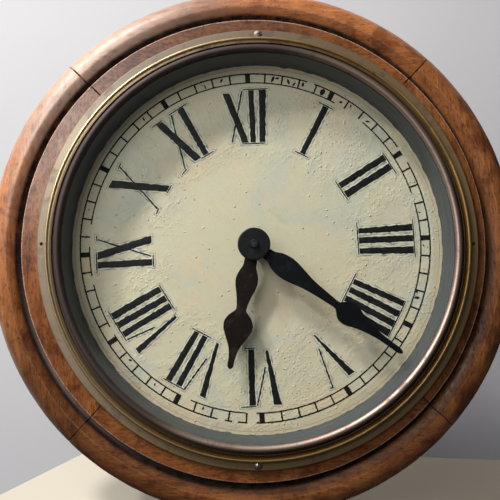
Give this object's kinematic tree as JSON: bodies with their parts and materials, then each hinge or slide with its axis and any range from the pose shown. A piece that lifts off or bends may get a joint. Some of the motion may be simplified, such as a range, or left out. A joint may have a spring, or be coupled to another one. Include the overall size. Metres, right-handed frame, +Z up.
{
  "type": "station clock",
  "caption": "Round wall-hung electric station clock: turned wooden surround, brass bezel and glass, painted dial, hands, and an impulse movement in a back box with a side door.",
  "frame": {"origin": "the hands' axis where it meets the wall, on the back of the back board", "axes": "+Z up, the dial faces -Y, +X to the right as one looks at the dial, +Y into the wall"},
  "size_m": [0.648, 0.1673, 0.648],
  "materials": {
    "wood_surround": "worn varnished oak, red-brown",
    "wood_box": "dull varnished wood",
    "wood_inner": "bare planed wood",
    "brass_bezel": "old brass, browned",
    "copper_ring": "copper-brown, worn",
    "clear_glass": "clear flat glass",
    "steel_screws": "bright steel, scratched",
    "grey_paint": "dull blue-grey paint",
    "cream_paint": "brushed cream paint",
    "brass_fittings": "plain brass",
    "iron_black": "blackened iron",
    "plate_brass": "lacquered brass",
    "steel": "bright steel",
    "soft_iron": "soft iron",
    "hand_black": "blue-black, semi-matt",
    "hand_brown": "brown-black, semi-matt",
    "coil_red": "varnished winding",
    "black_ebonite": "ebonite",
    "lead_green": "insulated wire"
  },
  "bodies": {
    "case": {"surround_top": "wood_surround", "surround_right": "wood_surround", "surround_bottom": "wood_surround", "surround_left": "wood_surround", "joint_tongues": "wood_inner", "bezel": "brass_bezel", "sight_ring": "copper_ring", "glass": "clear_glass", "bezel_screws": "steel_screws", "dial_drum": "grey_paint", "dial_plate": "cream_paint", "dial_screws": "steel_screws", "side_rails": "wood_inner", "cross_rails": "wood_inner", "wood_screws": "brass_fittings", "back_board": "wood_inner", "box_top": "wood_box", "box_bottom": "wood_box", "box_left": "wood_box", "box_right": "wood_box", "wall_ears": "iron_black", "small_screws": "brass_fittings", "box_leaves": "brass_fittings", "hinge_pins": "brass_fittings", "button_screw": "brass_fittings", "cable_bush": "black_ebonite", "front_plate": "plate_brass", "back_plate": "plate_brass", "pillars": "brass_fittings", "plate_screws": "steel_screws", "dial_feet": "brass_fittings", "pivot_studs": "steel", "hour_bridge": "plate_brass", "magnet_core": "soft_iron", "coils": "coil_red", "magnet_bracket": "plate_brass", "terminal_block": "black_ebonite", "terminal_screws": "brass_fittings", "leads": "lead_green", "drive_spring": "steel"},
    "door": {"door": "wood_box", "door_leaves": "brass_fittings", "door_leaf_screws": "brass_fittings", "door_knob": "brass_fittings"},
    "button": {"turn_button": "brass_fittings"},
    "minute": {"centre_arbor": "steel", "ratchet_wheel": "plate_brass", "cannon_pinion": "steel", "minute_hand": "hand_black", "hand_boss": "hand_black", "hand_nut": "hand_black"},
    "hour": {"hour_wheel": "plate_brass", "hour_hand": "hand_brown"},
    "motion_wheel": {"minute_wheel": "plate_brass"},
    "armature": {"armature": "soft_iron", "armature_arbor": "steel"},
    "drive_pawl": {"drive_pawl": "steel"},
    "backstop": {"backstop_pawl": "steel"}
  },
  "joints": [
    {"name": "minute_hand_turn", "type": "hinge", "parent": "case", "child": "minute", "pos_m": [0, -0.1, 0], "axis": [0, 1, 0], "continuous": true},
    {"name": "hour_hand_turn", "type": "hinge", "parent": "case", "child": "hour", "pos_m": [0, -0.1, 0], "axis": [0, 1, 0], "continuous": true},
    {"name": "motion_wheel_turn", "type": "hinge", "parent": "case", "child": "motion_wheel", "pos_m": [0.0224, -0.1, 0], "axis": [0, 1, 0], "continuous": true},
    {"name": "armature_swing", "type": "hinge", "parent": "case", "child": "armature", "pos_m": [-0.04, -0.0905, -0.048], "axis": [0, 1, 0], "range_deg": [0, 3.5], "stiffness_Nm_per_rad": 0.15, "springref_deg": -17.19, "deforming": ["drive_spring"]},
    {"name": "drive_pawl_lift", "type": "hinge", "parent": "armature", "child": "drive_pawl", "pos_m": [-0.011, -0.0869, -0.038], "axis": [0, -1, 0], "range_deg": [0, 10], "stiffness_Nm_per_rad": 0.002, "springref_deg": -17.19},
    {"name": "backstop_lift", "type": "hinge", "parent": "case", "child": "backstop", "pos_m": [0.0394, -0.0869, -0.0042], "axis": [0, -1, 0], "range_deg": [0, 10], "stiffness_Nm_per_rad": 0.002, "springref_deg": -17.19},
    {"name": "door_hinge", "type": "hinge", "parent": "case", "child": "door", "pos_m": [0.192, -0.0242, -0.02], "axis": [0, 0, 1], "range_deg": [0, 100]},
    {"name": "button_turn", "type": "hinge", "parent": "case", "child": "button", "pos_m": [0.1904, -0.067, -0.02], "axis": [-1, 0, 0], "range_deg": [0, 90]}
  ],
  "couplings": [
    {"joint": "hour_hand_turn", "follows": "minute_hand_turn", "ratio": 0.083333},
    {"joint": "motion_wheel_turn", "follows": "minute_hand_turn", "ratio": -0.33333}
  ]
}
